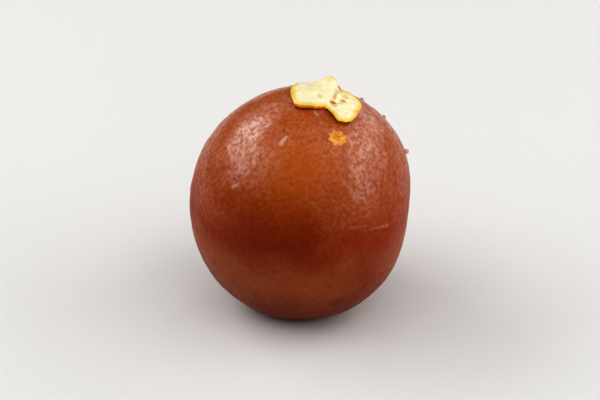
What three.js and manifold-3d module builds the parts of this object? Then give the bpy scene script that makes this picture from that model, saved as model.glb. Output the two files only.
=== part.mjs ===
// One gulab jamun: a soft fried milk ball, soaked in syrup, with a torn piece of gold leaf on its crown.
// Millimetres. +Z is up, +X to the right and -Y towards the viewer. The origin is under the middle of
// the ball, on the surface that it rests on.
import * as THREE from 'three';
import { ImprovedNoise } from 'three/addons/math/ImprovedNoise.js';
import { mergeGeometries, mergeVertices } from 'three/addons/utils/BufferGeometryUtils.js';
import Module from 'manifold-3d';

// The ball: a little taller than wide, and leaning a little to the right.
const ballWidth = 43.2;
const ballDepth = 43.6;
const ballHeight = 46.8; // before its own weight flattens the foot
const ballLean = THREE.MathUtils.degToRad(9);
const ballDetail = 18; // each of the 20 first faces has (detail + 1) squared triangles

// The soft foot: how far the ball sinks on itself, how gently it curves in, and where it is truly flat.
const footSink = 2.0;
const footRoundness = 0.9;
const footFlat = 0.2;

// Where rolling and frying left the ball proud or pressed in: compass angle from +X, height angle,
// how wide the place is in degrees, and how many millimetres it stands out.
const swellings = [
  { compass: 18, height: 28, spread: 26, out: 0.55 },
  { compass: -47, height: -36, spread: 28, out: 0.6 },
  { compass: -4, height: -4, spread: 24, out: -0.75 },
  { compass: 116, height: 46, spread: 30, out: -0.6 },
  { compass: 205, height: 24, spread: 30, out: 0.3 },
  { compass: 238, height: -22, spread: 24, out: -0.4 },
  { compass: 74, height: -14, spread: 32, out: 0.35 },
  { compass: 152, height: -6, spread: 26, out: -0.45 },
];

// The skin's own unevenness, as wide as each wave and as deep as it stands.
const skinWaves = [
  { wide: 7.5, deep: 0.16 },
  { wide: 3.2, deep: 0.07 },
];

// Small dimples pressed or fried into the skin.
const dimples = [
  { compass: 212, height: 34, radius: 2.2, deep: 0.22 },
  { compass: 196, height: 8, radius: 1.6, deep: 0.16 },
  { compass: -64, height: 12, radius: 1.9, deep: 0.14 },
  { compass: 322, height: -12, radius: 1.5, deep: 0.16 },
  { compass: 40, height: 2, radius: 2.4, deep: 0.2 },
  { compass: 96, height: 18, radius: 2.0, deep: 0.2 },
  { compass: 140, height: -28, radius: 2.6, deep: 0.22 },
];

// The gold leaf's two long edges, seen from above: millimetres walked over the ball from its crown,
// to the right and to the back. Both start at the left end.
const leafFrontEdge = [
  [-1.7, 0.2], [-1.2, -3.1], [0.5, -4.3], [2.6, -4.1], [4.2, -3.6],
  [5.5, -5.5], [7.1, -6.7], [9.0, -5.8], [10.2, -3.2],
];
const leafBackEdge = [
  [-1.6, 2.4], [-1.0, 4.2], [0.9, 4.6], [2.8, 4.8], [4.7, 5.1],
  [6.5, 5.4], [8.5, 3.3], [10.1, 1.7], [10.9, -0.3],
];
const leafTear = { wide: 0.9, deep: 0.32 }; // how ragged the torn edges are
const leafThickness = 0.24;
const leafLift = 0.3; // the underside's clearance where it lies closest
const leafColumns = 42;
const leafRows = 16;
const leafCrumple = { wide: 2.6, deep: 0.45 };
// The places where the leaf stands up off the ball: where, how wide, and how high.
const leafPeaks = [
  { right: 4.8, back: 5.3, wide: 2.9, high: 2.0 },
  { right: 1.6, back: -3.6, wide: 2.8, high: 0.35 },
  { right: 8.2, back: 5.4, wide: 2.6, high: 0.1 },
  { right: 8.6, back: -5.2, wide: 2.6, high: 0.3 },
];
// The pinched creases between the leaf's two lobes, each from one place to another.
const leafCreases = [
  { from: [4.4, -2.8], to: [8.0, -0.4], wide: 0.8, deep: 0.6 },
  { from: [6.9, 5.8], to: [7.4, 1.4], wide: 0.8, deep: 0.5 },
];

// A scrap of gold leaf that lies flat on the skin in front of the big piece.
const scrap = { right: 7.4, back: -10.2, radius: 1.65, points: 7, jag: 0.2, proud: 0.25, root: 0.5 };

// Small crumbs that stand up from the skin.
const crumbs = [
  { compass: 12, height: 20, long: 1.2, wide: 0.8, thick: 0.5, turn: 60 },
  { compass: 38, height: 47, long: 0.8, wide: 0.8, thick: 0.5, turn: 20 },
  { compass: 25, height: 37, long: 0.8, wide: 0.7, thick: 0.5, turn: 100 },
];

const gold = { color: 0xf2c23a, roughness: 0.3, metalness: 1 };
const friedSkin = { color: 0x8f3a18, roughness: 0.4, metalness: 0 };

const up = new THREE.Vector3(0, 0, 1);
const noise = new ImprovedNoise();

// A unit vector from a compass angle and a height angle in degrees.
function towards(compass, height) {
  const flat = THREE.MathUtils.degToRad(compass);
  const rise = THREE.MathUtils.degToRad(height);
  return new THREE.Vector3(
    Math.cos(rise) * Math.cos(flat),
    Math.cos(rise) * Math.sin(flat),
    Math.sin(rise),
  );
}

const withAim = (place) => ({ ...place, aim: towards(place.compass, place.height) });
const aimedSwellings = swellings.map(withAim);
const aimedDimples = dimples.map(withAim);

// How far the skin stands out of the plain egg shape in one direction.
function skinRelief(direction) {
  const radius = ballWidth / 2;
  let out = 0;
  for (const { aim, spread, out: amount } of aimedSwellings) {
    const away = THREE.MathUtils.radToDeg(direction.angleTo(aim)) / spread;
    out += amount * Math.exp(-away * away);
  }
  for (const { aim, radius: wide, deep } of aimedDimples) {
    const away = (direction.angleTo(aim) * radius) / wide;
    out -= deep * Math.exp(-away * away);
  }
  for (const { wide, deep } of skinWaves) {
    const at = direction.clone().multiplyScalar(radius / wide);
    out += deep * noise.noise(at.x, at.y, at.z);
  }
  return out;
}

// The egg's own surface and outward normal in one direction from its centre, still leaning and not sunk.
function eggPoint(direction) {
  const local = direction.clone().applyAxisAngle(new THREE.Vector3(0, 1, 0), -ballLean);
  const half = new THREE.Vector3(ballWidth / 2, ballDepth / 2, ballHeight / 2);
  const scale = 1 / local.clone().divide(half).length();
  const normal = local
    .clone()
    .divide(half)
    .divide(half)
    .normalize()
    .applyAxisAngle(new THREE.Vector3(0, 1, 0), ballLean);
  return { point: direction.clone().multiplyScalar(scale), normal };
}

// The soft foot: heights near the resting surface are pressed up onto it.
function settle(z) {
  return (z + Math.hypot(z, footRoundness)) / 2;
}

const centreHeight = ballHeight / 2 - footSink;

// A point on the ball's skin, or a little above it, with the foot settled on the table at z = 0.
function skinPoint(direction, lift = 0) {
  const { point, normal } = eggPoint(direction);
  point.addScaledVector(normal, skinRelief(direction) + lift);
  point.z = settle(point.z + centreHeight) - footFlat;
  return point;
}

// The direction reached by walking over the ball from its crown: right, and back.
function walked(right, back) {
  const angle = Math.hypot(right, back) / (ballWidth / 2);
  return up
    .clone()
    .applyAxisAngle(new THREE.Vector3(-back, right, 0).normalize(), angle);
}

// The same surface with nothing but its places, and with equal corners made one.
function merged(geometry) {
  const bare = geometry.clone();
  bare.deleteAttribute('normal');
  bare.deleteAttribute('uv');
  return mergeVertices(bare, 1e-4);
}

// A closed solid for joining and cutting.
function solidFrom(wasm, geometry) {
  const { attributes, index } = merged(geometry);
  return new wasm.Manifold(
    new wasm.Mesh({
      numProp: 3,
      vertProperties: Float32Array.from(attributes.position.array),
      triVerts: Uint32Array.from(index.array),
    }),
  );
}

function geometryFrom(solid) {
  const { vertProperties, triVerts } = solid.getMesh();
  const geometry = new THREE.BufferGeometry();
  geometry.setAttribute('position', new THREE.BufferAttribute(vertProperties, 3));
  geometry.setIndex(new THREE.BufferAttribute(triVerts, 1));
  return geometry.toNonIndexed();
}

// Moves every corner of a geometry by a rule that returns its new place.
function reshape(geometry, rule) {
  const { position } = geometry.attributes;
  for (let i = 0; i < position.count; i++) {
    position.setXYZ(i, ...rule(new THREE.Vector3().fromBufferAttribute(position, i)));
  }
  return geometry;
}

function ballGeometry() {
  const round = merged(new THREE.IcosahedronGeometry(1, ballDetail));
  return reshape(round, (corner) => skinPoint(corner.normalize()));
}

// The slab under the table, which trims the foot flat.
function tableGeometry() {
  const side = 2 * ballWidth;
  return new THREE.BoxGeometry(side, side, side).translate(0, 0, -side / 2);
}

// A thin closed sheet of columns and rows. place(along, across, side) gives each corner its place, with
// along and across from 0 to 1, and side 1 on the upper face and 0 on the lower. Both are split alike.
function sheetGeometry(columns, rows, place) {
  const face = new THREE.PlaneGeometry(1, 1, columns, rows).translate(0.5, 0.5, 0);
  const upper = face.clone().translate(0, 0, 1);
  const lower = face.clone();
  lower.index.array.reverse(); // turns every triangle over
  const walls = new THREE.BoxGeometry(1, 1, 1, columns, rows, 1).translate(0.5, 0.5, 0.5);
  const [, , , lastWall] = walls.groups; // the box's four sides come before its top and bottom
  walls.setIndex(Array.from(walls.index.array.slice(0, lastWall.start + lastWall.count)));
  const sheet = merged(mergeGeometries([upper, lower, walls]));
  return reshape(sheet, ({ x, y, z }) => place(x, y, z));
}

const edgeCurve = (points) => new THREE.SplineCurve(points.map(([x, y]) => new THREE.Vector2(x, y)));
const leafFront = edgeCurve(leafFrontEdge);
const leafBack = edgeCurve(leafBackEdge);

// How high the leaf's underside stands off the skin at a place on the ball.
function leafStand(place) {
  const { wide, deep } = leafCrumple;
  const ridge = 1 - Math.abs(noise.noise(place.x / wide, place.y / wide, 3.3));
  let stand = leafLift + deep * ridge;
  for (const peak of leafPeaks) {
    const away = place.distanceTo(new THREE.Vector2(peak.right, peak.back)) / peak.wide;
    stand += peak.high * Math.max(0, 1 - away) ** 1.3;
  }
  for (const crease of leafCreases) {
    const from = new THREE.Vector2(...crease.from);
    const along = new THREE.Vector2(...crease.to).sub(from);
    const share = THREE.MathUtils.clamp(place.clone().sub(from).dot(along) / along.lengthSq(), 0, 1);
    const off = place.distanceTo(from.addScaledVector(along, share)) / crease.wide;
    stand -= crease.deep * Math.exp(-off * off);
  }
  return Math.max(stand, leafLift);
}

// A place on the leaf: along runs from 0 at its left end to 1, and across from 0 at its front edge to 1.
function leafPlace(along, across) {
  const place = leafFront.getPoint(along).lerp(leafBack.getPoint(along), across);
  const { wide, deep } = leafTear;
  place.x += deep * noise.noise(place.x / wide, place.y / wide, 11.5);
  place.y += deep * noise.noise(place.x / wide, place.y / wide, 27.5);
  return place;
}

function leafGeometry() {
  return sheetGeometry(leafColumns, leafRows, (along, across, side) => {
    const place = leafPlace(along, across);
    return skinPoint(walked(place.x, place.y), leafStand(place) + side * leafThickness);
  });
}

// The flat scrap: a disc with a torn, pointed outline that follows the skin, with its root inside the ball.
function scrapGeometry() {
  const disc = new THREE.CylinderGeometry(1, 1, 1, 6 * scrap.points, 2).rotateX(Math.PI / 2);
  return reshape(disc, (corner) => {
    const angle = Math.atan2(corner.y, corner.x);
    const torn = scrap.radius * (1 + scrap.jag * Math.sin(scrap.points * angle) * Math.sin(2 * angle + 1));
    const lift = corner.z > 0 ? scrap.proud : -scrap.root;
    return skinPoint(walked(scrap.right + corner.x * torn, scrap.back + corner.y * torn), lift);
  });
}

function crumbGeometry({ compass, height, long, wide, thick, turn }) {
  const direction = towards(compass, height);
  const stand = new THREE.Matrix4()
    .makeTranslation(skinPoint(direction, long / 6))
    .multiply(
      new THREE.Matrix4().makeRotationFromQuaternion(
        new THREE.Quaternion().setFromUnitVectors(up, direction),
      ),
    )
    .multiply(new THREE.Matrix4().makeRotationZ(THREE.MathUtils.degToRad(turn)))
    .multiply(new THREE.Matrix4().makeScale(thick / 2, wide / 2, long / 2));
  return new THREE.IcosahedronGeometry(1, 0).applyMatrix4(stand);
}

function part(name, geometry, finish) {
  geometry.computeVertexNormals();
  const mesh = new THREE.Mesh(geometry, new THREE.MeshStandardMaterial(finish));
  mesh.name = name;
  return mesh;
}

const wasm = await Module();
wasm.setup();

const toppings = [scrapGeometry(), ...crumbs.map(crumbGeometry)];
const ball = toppings
  .map((geometry) => solidFrom(wasm, geometry))
  .reduce((joined, topping) => joined.add(topping), solidFrom(wasm, ballGeometry()))
  .subtract(solidFrom(wasm, tableGeometry()));

const gulabJamun = new THREE.Group();
gulabJamun.add(part('gulab_jamun', geometryFrom(ball), friedSkin));
gulabJamun.add(part('gold_leaf', leafGeometry(), gold));

// The middle of the whole piece goes over the origin.
const middle = new THREE.Box3().setFromObject(gulabJamun, true).getCenter(new THREE.Vector3());
gulabJamun.position.set(-middle.x, -middle.y, 0);

export default gulabJamun;
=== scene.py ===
# A gulab jamun with gold leaf on its crown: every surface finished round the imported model.
import math
import random

import bmesh
import bpy
from mathutils import Matrix, Vector, noise
from mathutils.bvhtree import BVHTree
from mathutils.kdtree import KDTree


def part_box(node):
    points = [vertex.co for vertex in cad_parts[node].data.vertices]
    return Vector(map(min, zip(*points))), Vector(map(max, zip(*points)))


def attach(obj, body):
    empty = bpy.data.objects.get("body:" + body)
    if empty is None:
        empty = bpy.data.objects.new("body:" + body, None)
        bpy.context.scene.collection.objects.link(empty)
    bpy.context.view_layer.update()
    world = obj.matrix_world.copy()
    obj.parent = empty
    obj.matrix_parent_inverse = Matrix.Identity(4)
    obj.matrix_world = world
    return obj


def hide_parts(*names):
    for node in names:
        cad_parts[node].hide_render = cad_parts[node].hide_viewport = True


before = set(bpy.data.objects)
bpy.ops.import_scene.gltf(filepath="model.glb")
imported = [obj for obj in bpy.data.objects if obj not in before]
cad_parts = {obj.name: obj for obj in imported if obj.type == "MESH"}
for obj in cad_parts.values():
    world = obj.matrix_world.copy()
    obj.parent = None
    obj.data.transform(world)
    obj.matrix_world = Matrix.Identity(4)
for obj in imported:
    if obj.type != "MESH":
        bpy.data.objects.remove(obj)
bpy.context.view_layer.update()        # only the imported meshes are left
print("frame loaded:", ", ".join(sorted(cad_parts)))

mm = 0.001
weld = 0.002 * mm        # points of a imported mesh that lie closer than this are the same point
seed = 11                # another number moves the pits and tears the leaf's edge otherwise
random.seed(seed)
noise.seed_set(seed)     # left out, the clock would choose

ballLow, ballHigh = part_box("gulab_jamun")
ballCentre = (ballLow + ballHigh) / 2
ballRadius = ballHigh.z - ballCentre.z


# small tools that several pieces use

def tone(red, green, blue):  # a colour as seen on screen, 0 to 255, taken back through the sRGB curve
    linear = []
    for level in (red, green, blue):
        share = level / 255
        linear.append(share / 12.92 if share < 0.04045 else ((share + 0.055) / 1.055) ** 2.4)
    return (*linear, 1)


def towards(compass, height):  # compass 0 is +X and 90 is +Y, height 90 is straight up
    flat = math.cos(math.radians(height))
    angle = math.radians(compass)
    return Vector((flat * math.cos(angle), flat * math.sin(angle), math.sin(math.radians(height))))


def meet(surface, aim):  # where a ray from the ball's middle meets a surface, and which way that faces there
    place, normal, _, _ = surface.ray_cast(ballCentre, aim)
    return place, normal


def copyOfNode(name):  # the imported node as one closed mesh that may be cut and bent
    bm = bmesh.new()
    bm.from_mesh(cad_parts[name].data)
    bmesh.ops.remove_doubles(bm, verts=bm.verts, dist=weld)
    return bm


def treeOf(verts):  # for finding the points near a place, and how far the nearest one is
    tree = KDTree(len(verts))
    for v in verts:
        tree.insert(v.co, v.index)
    tree.balance()
    return tree


def smoothStep(low, high, value):  # 0 below low, 1 above high, and an even curve between them
    share = min(max((value - low) / (high - low), 0), 1)
    return share * share * (3 - 2 * share)


def smoothed(bm, verts, times):
    for _ in range(times):
        bmesh.ops.smooth_vert(bm, verts=verts, factor=0.5,
                              use_axis_x=True, use_axis_y=True, use_axis_z=True)


def newObject(bm, name, material):
    mesh = bpy.data.meshes.new(name)
    bm.to_mesh(mesh)
    bm.free()
    mesh.materials.append(material)
    made = bpy.data.objects.new(name, mesh)
    bpy.context.scene.collection.objects.link(made)
    return made


def finished(bm, name, material, replacedNode=None):
    for face in bm.faces:
        face.smooth = True
    piece = newObject(bm, name, material)
    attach(piece, "root")
    if replacedNode:
        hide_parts(replacedNode)
    print("made", name, len(piece.data.polygons), "faces")
    return piece


def foiled(piece, thickness, offset):  # mm thick, with offset -1 all of it inwards, with 0 half to each side
    shell = piece.modifiers.new("foil", "SOLIDIFY")
    shell.thickness = thickness * mm
    shell.offset = offset


# materials

def newMaterial(name):
    material = bpy.data.materials.new(name)
    material.use_nodes = True
    graph = material.node_tree
    return material, graph, graph.nodes["Principled BSDF"]


def feed(graph, socket, value):  # value: another node's socket, or what is the same all over
    if isinstance(value, bpy.types.NodeSocket):
        graph.links.new(value, socket)
    else:
        socket.default_value = value


def calculated(graph, operation, *values):
    node = graph.nodes.new("ShaderNodeMath")
    node.operation = operation
    for socket, value in zip(node.inputs, values):
        feed(graph, socket, value)
    return node.outputs[0]


def remapped(graph, source, before, after=(0, 1)):  # before and after: a pair of values and what they become
    node = graph.nodes.new("ShaderNodeMapRange")
    for name, value in zip(("From Min", "From Max", "To Min", "To Max"), (*before, *after)):
        node.inputs[name].default_value = value
    graph.links.new(source, node.inputs["Value"])
    return node.outputs["Result"]


def mixed(graph, share, first, second):
    node = graph.nodes.new("ShaderNodeMix")
    node.data_type = "RGBA"
    feed(graph, node.inputs["Factor"], share)
    feed(graph, node.inputs[6], first)       # inputs 6 and 7 and output 2 are this node's colours
    feed(graph, node.inputs[7], second)
    return node.outputs[2]


def attributed(graph, name):  # a value that the piece's points carry
    node = graph.nodes.new("ShaderNodeAttribute")
    node.attribute_name = name
    return node.outputs["Fac"]


speckleLayers = {  # the noise of each layer: its detail, roughness and distortion
    "Blotch": (3.0, 0.5, 0.0),
    "Grain": (3.0, 0.65, 0.0),
    "Crease": (2.0, 0.5, 0.7),
}
creaseMiddle = 0.5       # a crease runs where its noise has this value
creaseHalf = 0.045       # and has faded out this far from it
grainSpan = (0.3, 0.7)   # nearly all of the grain's values lie between these


def makeSpeckle():  # blotches, fine grain and thin creases, each sized in mm, for every material of the part
    group = bpy.data.node_groups.new("speckle", "ShaderNodeTree")
    for name in speckleLayers:
        size = group.interface.new_socket(name + " size", in_out="INPUT", socket_type="NodeSocketFloat")
        size.default_value = 1
        group.interface.new_socket(name, in_out="OUTPUT", socket_type="NodeSocketFloat")
    sizes = group.nodes.new("NodeGroupInput")
    layers = group.nodes.new("NodeGroupOutput")
    place = group.nodes.new("ShaderNodeTexCoord")
    for name, (detail, roughness, distortion) in speckleLayers.items():
        cloud = group.nodes.new("ShaderNodeTexNoise")
        cloud.inputs["Detail"].default_value = detail
        cloud.inputs["Roughness"].default_value = roughness
        cloud.inputs["Distortion"].default_value = distortion
        perMetre = calculated(group, "DIVIDE", 1 / mm, sizes.outputs[name + " size"])
        group.links.new(perMetre, cloud.inputs["Scale"])
        group.links.new(place.outputs["Object"], cloud.inputs["Vector"])
        value = cloud.outputs["Fac"]
        if name == "Crease":
            away = calculated(group, "ABSOLUTE", calculated(group, "SUBTRACT", value, creaseMiddle))
            value = remapped(group, away, (0, creaseHalf), (1, 0))
        group.links.new(value, layers.inputs[name])
    return group


speckle = makeSpeckle()


def addSpeckle(graph, look):  # returns the blotches, the grain and the creases at the look's sizes
    node = graph.nodes.new("ShaderNodeGroup")
    node.node_tree = speckle
    for name in speckleLayers:
        node.inputs[name + " size"].default_value = look[name.lower()]
    return [node.outputs[name] for name in speckleLayers]


def surfaced(graph, shader, look, colour, grain, height):  # what every material of the part ends with
    graph.links.new(colour, shader.inputs["Base Color"])
    graph.links.new(remapped(graph, grain, grainSpan, look["rough"]), shader.inputs["Roughness"])
    bump = graph.nodes.new("ShaderNodeBump")
    bump.inputs["Strength"].default_value = 1
    bump.inputs["Distance"].default_value = look["relief"] * mm
    graph.links.new(height, bump.inputs["Height"])
    graph.links.new(bump.outputs["Normal"], shader.inputs["Normal"])


skinLook = {
    "sole": tone(123, 48, 17),       # the lowest part, darkest: painted shade at the very bottom
    "foot": tone(157, 79, 39),       # the paler band round it: painted light bounced up from below
    "deep": tone(147, 53, 8),        # the darker band above it: painted shade on the lower flank
    "amber": tone(184, 89, 13),      # the upper half
    "footFrom": (7, 13),             # mm above the table over which it fades in, here and in the next two
    "deepFrom": (16.5, 22.5),
    "amberFrom": (22, 39),
    "uneven": 14,                    # mm: a weak blotch has a strong one's colour this much further up
    "dark": tone(118, 35, 6),        # fine flecks
    "darkGrain": (0.52, 0.36),       # the grain where they begin, and where they are strongest
    "darkShare": 0.25,               # how strong that is
    "pale": tone(201, 127, 64),      # fine flecks
    "paleGrain": (0.52, 0.7),
    "paleShare": 0.3,
    "paleLow": 0.3,                  # how much of them is left below the upper half
    # the pits painted darker: painted shade in them
    "pitShade": tone(114, 35, 6),
    "paintedGlint": tone(244, 214, 196),      # painted glints on the few scuffs and folds
    "drainedAndLit": tone(207, 105, 5),    # where the syrup has run off, painted lighter: a painted pool of light on the front top
    "drainedAndLitShare": 0.42,
    "paintedShade": tone(108, 14, 0),     # painted shade low on the front
    "paintedShadeShare": 0.43,
    "rough": (0.46, 0.36),           # where the grain is low, and where it is high
    "soft": 0.12,                    # how much of the light goes in under the skin
    "softReach": 1.4,                # mm that it goes
    "softTint": (1.0, 0.32, 0.12),   # the share of that reach for red, green and blue
    "shine": 0.13,                   # of the skin under the syrup
    "wet": 1.0,                      # how glossy the syrup lies, high up
    "wetFrom": 0.1,                  # where its gloss begins, as a share of the way from deep to amber
    "wetGrain": (0.42, 0.58),        # it is weakest below the first of these, and whole above the second
    "wetWeak": 0.35,                 # what is left of it where it is weakest
    "wetPatch": 0.15,                # and in the patch where the syrup has run off, and in the painted shade
    "wetRough": 0.28,
    "wetBend": 2.0,                  # index of refraction, above real syrup's 1.5 for a clearer gloss
    "blotch": 7.0,                   # mm across, like the next two
    "grain": 0.8,
    "crease": 4.5,
    "relief": 0.18,                  # mm
    "creaseRise": -0.03,             # beside the grain's height
}


def makeSkin():
    look = skinLook
    material, graph, shader = newMaterial("friedSkin")
    blotch, grain, crease = addSpeckle(graph, look)
    place = graph.nodes.new("ShaderNodeTexCoord")
    axes = graph.nodes.new("ShaderNodeSeparateXYZ")
    graph.links.new(place.outputs["Object"], axes.inputs[0])
    stray = calculated(graph, "MULTIPLY_ADD", blotch, look["uneven"], -look["uneven"] / 2)
    height = calculated(graph, "MULTIPLY_ADD", axes.outputs["Z"], 1 / mm, stray)

    # The height zones paint the light: shade at the very bottom, a paler band of light bounced up round the
    # foot, and shade on the lower flank under the upper half's own colour.
    colour = look["sole"]
    for zone in ("foot", "deep"):
        colour = mixed(graph, remapped(graph, height, look[zone + "From"]), colour, look[zone])
    upper = remapped(graph, height, look["amberFrom"])
    colour = mixed(graph, upper, colour, look["amber"])
    darkFlecks = remapped(graph, grain, look["darkGrain"], (0, look["darkShare"]))
    colour = mixed(graph, darkFlecks, colour, look["dark"])
    paleFlecks = remapped(graph, grain, look["paleGrain"], (0, look["paleShare"]))
    fewerLow = remapped(graph, upper, (0, 1), (look["paleLow"], 1))
    colour = mixed(graph, calculated(graph, "MULTIPLY", paleFlecks, fewerLow), colour, look["pale"])
    # one patch painted lighter where the light falls, the other painted shade; both also take gloss off
    patches = {name: attributed(graph, name) for name in ("drainedAndLit", "paintedShade")}
    for name, patch in patches.items():
        colour = mixed(graph, calculated(graph, "MULTIPLY", patch, look[name + "Share"]), colour, look[name])
    for mark in ("pitShade", "paintedGlint"):
        colour = mixed(graph, attributed(graph, mark), colour, look[mark])

    gloss = remapped(graph, upper, (look["wetFrom"], 1), (0, look["wet"]))
    spotted = remapped(graph, grain, look["wetGrain"], (look["wetWeak"], 1))
    gloss = calculated(graph, "MULTIPLY", gloss, spotted)
    for patch in patches.values():
        gloss = calculated(graph, "MULTIPLY", gloss, remapped(graph, patch, (0, 1), (1, look["wetPatch"])))
    graph.links.new(gloss, shader.inputs["Coat Weight"])
    shader.inputs["Coat Roughness"].default_value = look["wetRough"]
    shader.inputs["Coat IOR"].default_value = look["wetBend"]
    shader.inputs["Specular IOR Level"].default_value = look["shine"]
    shader.inputs["Subsurface Weight"].default_value = look["soft"]
    shader.inputs["Subsurface Radius"].default_value = look["softTint"]
    shader.inputs["Subsurface Scale"].default_value = look["softReach"] * mm
    relief = calculated(graph, "MULTIPLY_ADD", crease, look["creaseRise"], grain)
    surfaced(graph, shader, look, colour, grain, relief)
    return material


goldLook = {
    "deep": tone(253, 222, 122),
    "pale": tone(255, 248, 206),
    "paleBlotch": (0.28, 0.46),      # the blotch where it begins, and where it is all pale
    "creaseShare": 0.3,              # how much of the deep gold a crease shows: painted shade in the crease
    # deeper gold along the edge: painted shade where the edge turns from the light
    "rim": tone(250, 204, 66),
    "thin": tone(228, 178, 84),      # where the leaf has worn thin
    "thinWorn": (0, 0.6),            # the wear where that begins, and where it is full
    "bare": tone(204, 112, 62),      # where it has worn through to the skin
    "bareWorn": (0.55, 0.95),
    "hem": tone(240, 136, 16),       # the front edge, turned down towards the skin, painted orange: painted shade and the brown skin's reflection
    "metal": 0.12,
    "rough": (0.3, 0.44),            # where the grain is low, and where it is high
    "blotch": 2.4,                   # mm across, like the next two
    "grain": 0.3,
    "crease": 1.5,
    "relief": 0.05,                  # mm
    "creaseRise": 0.5,               # beside the grain's height
}


def makeGold():
    look = goldLook
    material, graph, shader = newMaterial("goldLeaf")
    blotch, grain, crease = addSpeckle(graph, look)
    colour = mixed(graph, remapped(graph, blotch, look["paleBlotch"]), look["deep"], look["pale"])
    # creases show the deeper gold: painted shade
    creased = remapped(graph, crease, (0, 1), (0, look["creaseShare"]))
    colour = mixed(graph, creased, colour, look["deep"])
    colour = mixed(graph, attributed(graph, "rim"), colour, look["rim"])
    worn = attributed(graph, "worn")
    for state in ("thin", "bare"):
        colour = mixed(graph, remapped(graph, worn, look[state + "Worn"]), colour, look[state])
    colour = mixed(graph, attributed(graph, "hem"), colour, look["hem"])
    shader.inputs["Metallic"].default_value = look["metal"]
    relief = calculated(graph, "MULTIPLY_ADD", crease, look["creaseRise"], grain)
    surfaced(graph, shader, look, colour, grain, relief)
    return material


stuckLook = {
    # both golds are painted orange: the leaf's gold as it looks in shade
    "deep": tone(224, 136, 22),
    "pale": tone(242, 184, 94),
    "paleBlotch": (0.4, 0.62),       # the blotch where it begins, and where it is all pale
    "skinGrain": (0.44, 0.32),       # the grain where the skin begins to show through, and shows most
    "skinShare": 0.6,                # how much it shows there
    "metal": 0.35,
    "rough": (0.46, 0.36),           # where the grain is low, and where it is high
    "blotch": 1.6,                   # mm across, like the next two
    "grain": 0.5,
    "crease": 1.2,
    "relief": 0.05,                  # mm
    "creaseRise": -0.2,              # beside the grain's height
}


def makeStuckGold():  # leaf pressed so close to the wet skin that the brown shows through it, its gold painted orange: painted shade
    look = stuckLook
    material, graph, shader = newMaterial("goldOnSkin")
    blotch, grain, crease = addSpeckle(graph, look)
    colour = mixed(graph, remapped(graph, blotch, look["paleBlotch"]), look["deep"], look["pale"])
    through = remapped(graph, grain, look["skinGrain"], (0, look["skinShare"]))
    colour = mixed(graph, through, colour, skinLook["deep"])
    shader.inputs["Metallic"].default_value = look["metal"]
    relief = calculated(graph, "MULTIPLY_ADD", crease, look["creaseRise"], grain)
    surfaced(graph, shader, look, colour, grain, relief)
    return material


crumbLook = {
    "deep": tone(176, 104, 66),
    "pale": tone(228, 184, 150),
    "paleBlotch": (0.35, 0.6),       # the blotch where it begins, and where it is all pale
    "rough": (0.4, 0.55),            # where the grain is low, and where it is high
    "blotch": 0.8,                   # mm across, like the next two
    "grain": 0.25,
    "crease": 0.8,
    "relief": 0.04,                  # mm
}


def makeCrumb():
    look = crumbLook
    material, graph, shader = newMaterial("friedCrumb")
    blotch, grain, _ = addSpeckle(graph, look)
    colour = mixed(graph, remapped(graph, blotch, look["paleBlotch"]), look["deep"], look["pale"])
    surfaced(graph, shader, look, colour, grain, grain)
    return material


skin, gold, stuckGold, crumbCoat = makeSkin(), makeGold(), makeStuckGold(), makeCrumb()
print("materials made")

# the ball

ball = {
    "cuts": 125,                 # of each side of the cube that it starts as
    "toppingFace": 0.5,          # square mm: smaller faces of the node belong to what is fused on
    "toppingsAbove": 8.0,        # mm above the table, which leaves out the small faces of the foot
    "scarSmooth": 160,           # rounds of smoothing that close the skin under what is fused on
    "skinSmooth": 14,            # rounds all over, which take the node's facets away
    "wrinkles": [(2.6, 0.06), (1.3, 0.04), (0.8, 0.025)],  # mm wide, mm deep
    "wrinkleLevel": 0.5,         # how strong the noise is where the skin neither rises nor sinks
    "pits": 90,
    "pitWidth": (0.25, 0.5),     # mm
    "pitDepth": (0.03, 0.1),     # mm
    "pitReach": 2,               # widths from its middle that a pit goes out
    "pitSteep": 2,               # how steep its wall is
    # how dark the painted shade in a pit is
    "pitDark": 0.7,
    "markReach": 3,              # widths from its ends that a scuff or fold goes out
    "markTaper": 0.5,            # how much thinner it is at its far end
    "markFade": 0.4,             # how much fainter its painted glint is there
    "markRagged": 0.9,           # how uneven it is
    "markLumps": 2.5,            # per mm, of that unevenness
    "reliefFrom": (0.05, 1.6),   # mm above the table over which the relief fades in
    "patches": {                 # compass and height in degrees, and how far from there it fades out, in mm
        # the first: a painted pool of light on the front top, where the syrup has also run off
        "drainedAndLit": [(-88, 44, 7.5)],
        # the next three: painted shade low on the front and the lower right
        "paintedShade": [(-116, 7.5, 6.6), (-89, 8, 6.2), (-54, -21, 5)],
    },
}

# Scuffs and folds in the skin: compass and height in degrees at each end, mm wide, mm out, and how strong
# the painted glint on it is.
marks = [
    {"from": (-106.9, 56.1), "to": (-103.6, 60.2), "wide": 0.42, "out": 0.05, "paintedGlint": 0.75},
    {"from": (-61, 72.0), "to": (-62, 75.5), "wide": 0.3, "out": 0.04, "paintedGlint": 0.45},
    {"from": (-132.0, 28.1), "to": (-128.8, 29.8), "wide": 0.36, "out": 0.06, "paintedGlint": 0.5},
    {"from": (-63, 10.5), "to": (-53, 9.0), "wide": 0.34, "out": 0.07, "paintedGlint": 0.1},
    {"from": (-40, 4.5), "to": (-52, 6.5), "wide": 0.34, "out": 0.07, "paintedGlint": 0.2},
    {"from": (-58, 7.5), "to": (-42, 2.0), "wide": 0.4, "out": -0.1, "paintedGlint": 0.0},
]

# Pits that show in the front, besides the scattered ones: compass and height in degrees, mm wide, mm deep.
frontPits = [
    (-41.7, 40.8, 0.42, 0.12),
    (-50, 29.2, 0.42, 0.12),
    (-46, 35, 0.3, 0.08),
    (-130.3, 31.6, 0.4, 0.1),
]


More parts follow.
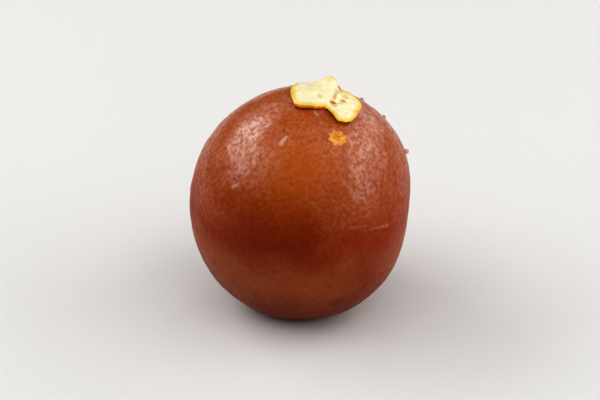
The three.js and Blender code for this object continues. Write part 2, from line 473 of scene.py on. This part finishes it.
def fusedFaces(cad):  # the faces of the node that belong to the scrap and the crumbs
    cad.faces.index_update()
    small = ball["toppingFace"] * mm * mm
    above = ball["toppingsAbove"] * mm
    return {f.index for f in cad.faces if f.calc_area() < small and f.calc_center_median().z > above}


def castCube(surface, fused):  # a finely cut cube laid on the node, and smoothed
    bm = bmesh.new()
    bmesh.ops.create_cube(bm, size=2)
    bmesh.ops.subdivide_edges(bm, edges=bm.edges, cuts=ball["cuts"], use_grid_fill=True)
    covered = []
    for v in bm.verts:
        aim = Vector([math.tan(c * math.pi / 4) for c in v.co]).normalized()  # evens out the squares
        v.co, _, index, _ = surface.ray_cast(ballCentre, aim)
        if index in fused:
            covered.append(v)
    smoothed(bm, covered, ball["scarSmooth"])
    smoothed(bm, bm.verts, ball["skinSmooth"])
    return bm


def allPits():  # the front ones and the scattered ones: where they are aimed, mm wide, mm deep
    pits = [(towards(compass, height), width, depth) for compass, height, width, depth in frontPits]
    for _ in range(ball["pits"]):
        aim = Vector([random.gauss(0, 1) for _ in range(3)]).normalized()
        pits.append((aim, random.uniform(*ball["pitWidth"]), random.uniform(*ball["pitDepth"])))
    return pits


def pressPits(bm, points, sink):  # sink: how far each point of the skin goes in
    pitShade = bm.verts.layers.float["pitShade"]
    for aim, width, depth in allPits():
        middle, _, _ = points.find(ballCentre + aim * ballRadius)
        for _, index, away in points.find_range(middle, ball["pitReach"] * width * mm):
            share = math.exp(-(away / width / mm) ** 2 * ball["pitSteep"])
            sink[index] += depth * mm * share
            # and paint shade into the pit
            bm.verts[index][pitShade] = min(1, bm.verts[index][pitShade] + ball["pitDark"] * share)


def raiseMarks(bm, surface, points, sink):
    paintedGlint = bm.verts.layers.float["paintedGlint"]
    for mark in marks:
        first, last = [meet(surface, towards(*mark[end]))[0] for end in ("from", "to")]
        reach = (last - first).length / 2 + ball["markReach"] * mark["wide"] * mm
        for place, index, _ in points.find_range((first + last) / 2, reach):
            share = min(max((place - first).dot(last - first) / (last - first).length_squared, 0), 1)
            taper = mark["wide"] * (1 - ball["markTaper"] * share) * mm
            away = (place - first.lerp(last, share)).length / taper
            lumps = noise.noise(place / mm * ball["markLumps"])
            worn = math.exp(-away * away) * (1 + ball["markRagged"] * lumps)
            sink[index] -= mark["out"] * mm * worn
            # the pale colour is a painted glint on the fold
            glintHere = mark["paintedGlint"] * (1 - ball["markFade"] * share) * worn
            bm.verts[index][paintedGlint] = min(1, bm.verts[index][paintedGlint] + glintHere)


def layPatches(bm, surface):  # each patch is strongest in its middles and fades out round them
    for name, spots in ball["patches"].items():
        layer = bm.verts.layers.float[name]
        middles = [(meet(surface, towards(compass, height))[0], reach * mm)
                   for compass, height, reach in spots]
        for v in bm.verts:
            nearness = [math.exp(-((v.co - middle).length / reach) ** 2) for middle, reach in middles]
            v[layer] = min(1, sum(nearness))


def makeBall():
    cad = copyOfNode("gulab_jamun")
    fused = fusedFaces(cad)
    surface = BVHTree.FromBMesh(cad)
    cad.free()
    bm = castCube(surface, fused)
    for name in ("pitShade", "paintedGlint", *ball["patches"]):
        bm.verts.layers.float.new(name)
    bm.normal_update()
    bm.verts.ensure_lookup_table()
    points = treeOf(bm.verts)
    sink = [0.0] * len(bm.verts)
    pressPits(bm, points, sink)
    raiseMarks(bm, surface, points, sink)
    layPatches(bm, surface)
    for v in bm.verts:
        spot = v.co / mm
        fade = smoothStep(*ball["reliefFrom"], spot.z)
        lift = sum(deep * (noise.noise(spot / wide) - ball["wrinkleLevel"])
                   for wide, deep in ball["wrinkles"]) * mm
        v.co += v.normal * (lift - sink[v.index]) * fade
        v.co.z = max(v.co.z, 0)
    return finished(bm, "jamunBall", skin, "gulab_jamun")


jamunBall = makeBall()


def treeOfSkin():
    bm = bmesh.new()
    bm.from_mesh(jamunBall.data)
    tree = BVHTree.FromBMesh(bm)
    bm.free()
    return tree


skinSurface = treeOfSkin()

# the big piece of gold leaf

leaf = {
    "upward": -0.3,              # faces that look down at the ball more than this are its underside, and go
    "cuts": 4,                   # of each edge of the node's triangles
    "smoothInside": 6,           # rounds of smoothing that leave the leaf's edge alone
    "smoothAll": 2,              # rounds that don't
    "crinkles": [(2.2, 0.1), (0.9, 0.06), (0.45, 0.03)],  # mm wide, mm deep
    "crinkleLevel": 0.35,        # how strong the noise is where the leaf neither rises nor sinks
    "crinkleStart": (7, 3),      # where the noise is read from: other numbers, other crinkles
    "tear": (0.5, 0.14),         # mm wide, mm deep
    "thickness": 0.05,           # mm
    "rim": (0.1, 1.2),           # mm in from the edge over which the deeper gold, painted shade, fades out
    "paleBack": (0.5, 6.5, 2.0),  # mm: the rim is fainter between these x and behind this y
    "paleBlend": 1.0,            # mm over which it turns fainter, in from those x and each way from that y
    "paleShare": 0.65,           # how much fainter
    "hemEnds": (-1.5, 4.9),      # from left to right, mm
    "hemBehind": -3.4,           # mm: the edge in front of this line is turned down
    "hemWide": 0.5,              # mm
    "hemDrop": 0.45,             # mm
    "hemColour": (0.45, 0.75),   # where across the hem its painted shade and reflection fade in: 0 is inside, 1 the edge
    # Worn places: x and y of the middle, half length, half width in mm, turn in degrees, and how worn.
    "worn": [
        (6.3, -2.6, 0.8, 0.9, 10, 1.0), (7.4, -2.3, 0.9, 0.6, 22, 0.36), (6.8, 0.4, 3.4, 0.42, 79, 0.5),
        (8.2, -0.9, 0.8, 0.8, 20, 0.72), (6.5, -3.7, 0.8, 0.7, 10, 0.45), (8.7, 0.9, 0.9, 0.8, 15, 0.36),
        (7.6, 4.3, 0.5, 1.3, 5, 0.9), (7.2, 2.6, 0.9, 0.8, -10, 0.42), (3.7, -1.2, 0.8, 1.1, 0, 0.32),
    ],
    "wornFade": (0.3, 1.1),      # where it fades out: 0 is its middle, 1 its edge
    "wornRagged": 0.35,          # how uneven that edge is
    "wornLumps": 1.4,            # per mm, of that unevenness
    "wornStretch": 0.6,          # how much fewer of them there are from front to back
}


def leafSheet():  # the upper side of the node alone, finely cut and smoothed
    bm = copyOfNode("gold_leaf")
    bm.normal_update()
    lower = [f for f in bm.faces
             if f.normal.dot((f.calc_center_median() - ballCentre).normalized()) < leaf["upward"]]
    bmesh.ops.delete(bm, geom=lower, context="FACES")
    bmesh.ops.subdivide_edges(bm, edges=bm.edges, cuts=leaf["cuts"], use_grid_fill=True)
    smoothed(bm, [v for v in bm.verts if not v.is_boundary], leaf["smoothInside"])
    smoothed(bm, bm.verts, leaf["smoothAll"])
    bm.normal_update()
    return bm


def inHem(spot):  # whether this part of the edge is turned down
    left, right = leaf["hemEnds"]
    return left < spot.x < right and spot.y < leaf["hemBehind"]


def rimAt(spot, inwards):  # how much of the edge's painted shade in deeper gold shows, so many mm in from the edge
    left, right, behind = leaf["paleBack"]
    blend = leaf["paleBlend"]
    faint = (smoothStep(left, left + blend, spot.x) * (1 - smoothStep(right - blend, right, spot.x))
             * smoothStep(behind - blend, behind + blend, spot.y))
    return (1 - leaf["paleShare"] * faint) * (1 - smoothStep(*leaf["rim"], inwards))


def wornAt(spot):  # how worn the leaf is, 0 to 1
    lumps = noise.noise(Vector((spot.x, leaf["wornStretch"] * spot.y, 0)) * leaf["wornLumps"])
    strengths = []
    for middleX, middleY, halfLength, halfWidth, turn, howWorn in leaf["worn"]:
        cos, sin = math.cos(math.radians(turn)), math.sin(math.radians(turn))
        along = ((spot.x - middleX) * cos + (spot.y - middleY) * sin) / halfLength
        across = ((spot.y - middleY) * cos - (spot.x - middleX) * sin) / halfWidth
        outwards = math.hypot(along, across) - leaf["wornRagged"] * lumps
        strengths.append(howWorn * (1 - smoothStep(*leaf["wornFade"], outwards)))
    return max(strengths)


def crinkledBy(spot):  # mm
    total = 0
    for wide, deep in leaf["crinkles"]:
        start = Vector((*leaf["crinkleStart"], wide))
        total += deep * (leaf["crinkleLevel"] - abs(noise.noise(spot / wide + start)))
    return total


def makeLeaf():
    bm = leafSheet()
    rim, hem, worn = [bm.verts.layers.float.new(name) for name in ("rim", "hem", "worn")]
    edge = [v for v in bm.verts if v.is_boundary]
    edgeTree = treeOf(edge)
    hemTree = treeOf([v for v in edge if inHem(v.co / mm)])
    tearWide, tearDeep = leaf["tear"]
    for v in bm.verts:
        spot = v.co / mm
        v[rim] = rimAt(spot, edgeTree.find(v.co)[2] / mm)
        near = 1 - min(hemTree.find(v.co)[2] / mm / leaf["hemWide"], 1)
        v[hem] = smoothStep(*leaf["hemColour"], near)
        v[worn] = wornAt(spot)
        jag = noise.noise_vector(spot / tearWide) * tearDeep * mm if v.is_boundary else Vector()
        v.co += v.normal * crinkledBy(spot) * mm + jag - v.normal * jag.dot(v.normal)
        v.co.z -= leaf["hemDrop"] * near * near * mm
    piece = finished(bm, "goldLeaf", gold, "gold_leaf")
    foiled(piece, leaf["thickness"], -1)


makeLeaf()

# the scrap of leaf stuck flat on the skin, and the crumbs

scrap = {
    "compass": -54.4,            # degrees
    "height": 56.3,              # degrees
    "radius": 1.9,               # mm
    "squeeze": 0.88,             # how much shorter it is up and down than across
    "squares": 72,               # on each side of the grid that it is torn from
    "gridReach": 1.4,            # radii from the middle to a side of that grid
    "points": 8,
    "pointDepth": 0.1,           # share of the radius
    "pointStray": 1.5,           # how unevenly they stand round it
    "pointStart": 4.2,           # where the noise for that is read from
    "ragged": 0.2,               # mm
    "raggedLumps": 2.6,          # per mm
    "raggedStart": (3, 8, 1),    # where the noise for those is read from
    "proud": 0.05,               # mm off the skin
    "waves": (1.7, 0.04),        # per mm, and mm more off the skin
    "thickness": 0.04,           # mm
}


def scrapEdge(angle):  # mm from its middle
    stray = noise.noise(Vector((math.cos(angle), math.sin(angle), scrap["pointStart"])))
    points = math.cos(scrap["points"] * angle + scrap["pointStray"] * stray)
    return scrap["radius"] * (1 + scrap["pointDepth"] * points)


def makeScrap():
    middle, normal = meet(skinSurface, towards(scrap["compass"], scrap["height"]))
    side = normal.cross(Vector((0, 0, 1))).normalized()
    ahead = normal.cross(side)
    bm = bmesh.new()
    bmesh.ops.create_grid(bm, x_segments=scrap["squares"], y_segments=scrap["squares"],
                          size=scrap["gridReach"] * scrap["radius"])
    start = Vector(scrap["raggedStart"])
    gone = []
    for v in bm.verts:
        ragged = scrap["ragged"] * noise.noise(v.co * scrap["raggedLumps"] + start)
        edge = scrapEdge(math.atan2(v.co.y, v.co.x)) + ragged
        if math.hypot(v.co.x, v.co.y / scrap["squeeze"]) > edge:
            gone.append(v)
    bmesh.ops.delete(bm, geom=gone, context="VERTS")
    wavesPerMm, waveHeight = scrap["waves"]
    for v in bm.verts:
        place = middle + (side * v.co.x + ahead * v.co.y) * mm
        spot, facing = meet(skinSurface, (place - ballCentre).normalized())
        lift = scrap["proud"] + waveHeight * abs(noise.noise(spot / mm * wavesPerMm))
        v.co = spot + facing * lift * mm
    bmesh.ops.recalc_face_normals(bm, faces=bm.faces)
    piece = finished(bm, "goldScrap", stuckGold)
    foiled(piece, scrap["thickness"], 0)


makeScrap()

crumbs = {
    "each": [  # compass and height in degrees, length, width and thickness in mm, and turn in degrees
        {"compass": 12, "height": 20, "size": (1.1, 0.9, 0.7), "turn": 60},
        {"compass": 38, "height": 47, "size": (0.7, 1.0, 0.7), "turn": 20},
        {"compass": 25, "height": 37, "size": (0.6, 0.9, 0.7), "turn": 100},
    ],
    "subdivisions": 3,
    "lumpy": 0.3,
    "lumps": 1.7,                # in half its length
    "sunk": 3,                   # its middle stands half its length, divided by this, off the skin
}


def makeCrumbs():
    bm = bmesh.new()
    for crumb in crumbs["each"]:
        place, normal = meet(skinSurface, towards(crumb["compass"], crumb["height"]))
        long, wide, thick = [side / 2 * mm for side in crumb["size"]]
        made = bmesh.ops.create_icosphere(bm, subdivisions=crumbs["subdivisions"], radius=1)["verts"]
        for v in made:
            v.co *= 1 + crumbs["lumpy"] * noise.noise(v.co * crumbs["lumps"] + place / mm)
        moved = Matrix.Translation(place + normal * long / crumbs["sunk"])
        upright = normal.to_track_quat("Z", "X").to_matrix().to_4x4()
        turned = Matrix.Rotation(math.radians(crumb["turn"]), 4, "Z")
        stretched = Matrix.Diagonal((thick, wide, long, 1))
        bmesh.ops.transform(bm, matrix=moved @ upright @ turned @ stretched, verts=made)
    finished(bm, "friedCrumbs", crumbCoat)


makeCrumbs()

# stage, light and camera

stage = {
    "floor": tone(233, 232, 230),
    "rough": 0.75,
    "reach": 3.0,      # m
    "corners": 96,
    "below": 0.02,     # mm that it lies under the foot, so that the two don't share a plane
    "sky": 0.04,
}


def makeFloor():
    bm = bmesh.new()
    bmesh.ops.create_circle(bm, cap_ends=True, radius=stage["reach"], segments=stage["corners"])
    bmesh.ops.translate(bm, verts=bm.verts, vec=(0, 0, -stage["below"] * mm))
    material, _, shader = newMaterial("paleFloor")
    shader.inputs["Base Color"].default_value = stage["floor"]
    shader.inputs["Roughness"].default_value = stage["rough"]
    newObject(bm, "floor", material)


def makeSky():
    world = bpy.data.worlds.new("studio")
    world.use_nodes = True
    background = world.node_tree.nodes["Background"]
    background.inputs["Color"].default_value = (1, 1, 1, 1)
    background.inputs["Strength"].default_value = stage["sky"]
    bpy.context.scene.world = world


def stand(name, data, target, where):  # a lamp or camera that looks at the target from where it is put
    made = bpy.data.objects.new(name, data)
    aim = towards(where["compass"], where["height"])
    made.location = target + aim * where["away"]
    made.rotation_mode = "QUATERNION"
    made.rotation_quaternion = aim.to_track_quat("Z", "Y")
    bpy.context.scene.collection.objects.link(made)
    return made


lights = {  # each soft box: compass and height in degrees, metres away, size in metres, and watts
    "leftBox": {"compass": 147, "height": 39, "away": 0.6, "size": (0.36, 0.26), "watts": 0.8},
    "leftTall": {"compass": 180, "height": 32, "away": 0.6, "size": (0.26, 0.32), "watts": 0.44},
    "leftLow": {"compass": 160, "height": 14, "away": 0.6, "size": (0.26, 0.2), "watts": 0.08},
    "leftFront": {"compass": -155, "height": 40, "away": 0.6, "size": (0.4, 0.4), "watts": 0.35},
    "frontTop": {"compass": -90, "height": 68, "away": 0.7, "size": (0.9, 0.9), "watts": 1.5},
    "frontBox": {"compass": -45, "height": 30, "away": 0.6, "size": (0.8, 0.8), "watts": 0.8},
    "rightBack": {"compass": 54, "height": 19, "away": 0.6, "size": (0.26, 0.22), "watts": 0.26},
    "rightTall": {"compass": 20, "height": 27, "away": 0.6, "size": (0.34, 0.4), "watts": 0.54},
    "rightLow": {"compass": -15, "height": 19, "away": 0.6, "size": (0.3, 0.28), "watts": 0.46},
    "rightSide": {"compass": 5, "height": 45, "away": 0.6, "size": (0.3, 0.4), "watts": 0.24},
    "backSheet": {"compass": 92, "height": 39, "away": 1.2, "size": (1.3, 0.8), "watts": 1.25},
}


def makeLights():
    for name, box in lights.items():
        data = bpy.data.lights.new(name, "AREA")
        data.shape = "RECTANGLE"
        data.size, data.size_y = box["size"]
        data.energy = box["watts"]
        stand(name, data, ballCentre, box)


camera = {
    "compass": -90,            # degrees
    "height": 29.5,            # degrees above the table, as in the photograph
    "away": 0.967,             # m
    "lens": 300,               # mm
    "target": (0, 0, 0.0215),  # m
}


def makeCamera():
    data = bpy.data.cameras.new("camera")
    data.lens = camera["lens"]
    bpy.context.scene.camera = stand("camera", data, Vector(camera["target"]), camera)


makeFloor()
makeSky()
makeLights()
makeCamera()
bpy.context.scene.view_settings.view_transform = "Standard"
bpy.context.scene.view_settings.look = "High Contrast"
print("stage, light and camera ready")
